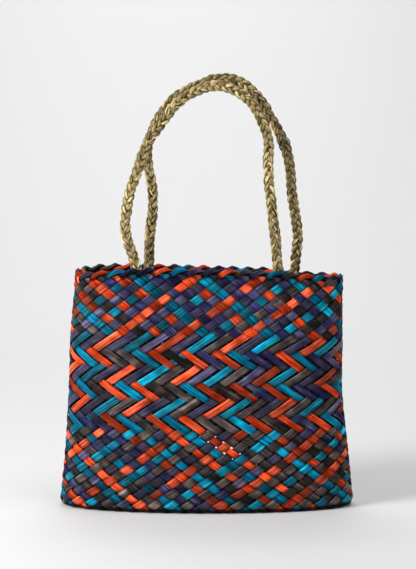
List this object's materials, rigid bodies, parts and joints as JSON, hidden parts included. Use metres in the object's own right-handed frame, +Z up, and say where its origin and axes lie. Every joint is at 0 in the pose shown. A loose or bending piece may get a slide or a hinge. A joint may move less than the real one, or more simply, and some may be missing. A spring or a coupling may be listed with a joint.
{
  "type": "plaited flax bag with two handles",
  "caption": "Upright kete plaited from flat dyed flax strips, open at the top, with a plaited rim and two raised braided handles.",
  "frame": {"origin": "on the floor under the middle of the bag's base", "axes": "+Z up, the front wall faces -Y, +X to the right when facing the front"},
  "size_m": [0.2956, 0.103, 0.4325],
  "materials": {
    "dyed_flax": "plaited flat strips dyed orange, teal, navy and black-brown, satin",
    "dyed_flax_rim": "the same dyed strips turned over and plaited along the edge",
    "undyed_flax": "braided undyed green-straw fibre, matt",
    "undyed_flax_back": "braided undyed green-straw fibre, matt"
  },
  "bodies": {
    "root": {"woven_body": "dyed_flax", "rim_plait": "dyed_flax_rim", "front_handle": "undyed_flax", "back_handle": "undyed_flax_back"}
  },
  "joints": []
}
